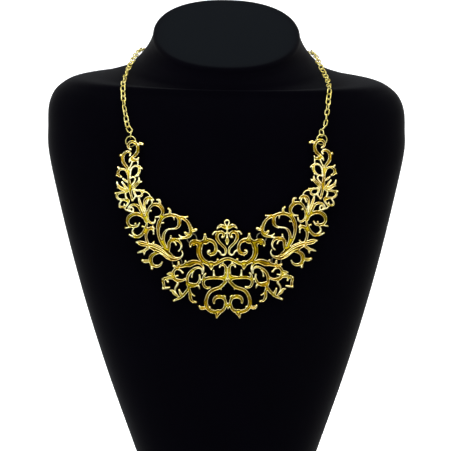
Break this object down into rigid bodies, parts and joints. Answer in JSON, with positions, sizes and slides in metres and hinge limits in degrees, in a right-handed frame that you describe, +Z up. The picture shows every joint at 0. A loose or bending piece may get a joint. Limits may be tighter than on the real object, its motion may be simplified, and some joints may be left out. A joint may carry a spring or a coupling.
{
  "type": "bib choker necklace on neck bust",
  "caption": "Bib choker of cast openwork scroll plates in antique gold on an oval-link chain, shown on a plain black velvet neck bust.",
  "frame": {"origin": "centre of the bust's flat foot, on the surface that it stands on", "axes": "+Z up, -Y toward the viewer of the chest, +X to that viewer's right"},
  "size_m": [0.2384, 0.1165, 0.325],
  "materials": {
    "velvet": "black flocked velvet, matt",
    "cast_gold": "antique gold plating, dark olive in the recesses and bright on the rims",
    "wire_gold": "antique gold plated wire"
  },
  "bodies": {
    "root": {"neck_bust": "velvet", "center_plate": "cast_gold", "left_plate": "cast_gold", "right_plate": "cast_gold", "left_upper_ring": "wire_gold", "left_lower_ring": "wire_gold", "right_upper_ring": "wire_gold", "right_lower_ring": "wire_gold", "left_end_ring": "wire_gold", "right_end_ring": "wire_gold", "left_chain": "wire_gold", "right_chain": "wire_gold", "clasp": "wire_gold"}
  },
  "joints": []
}
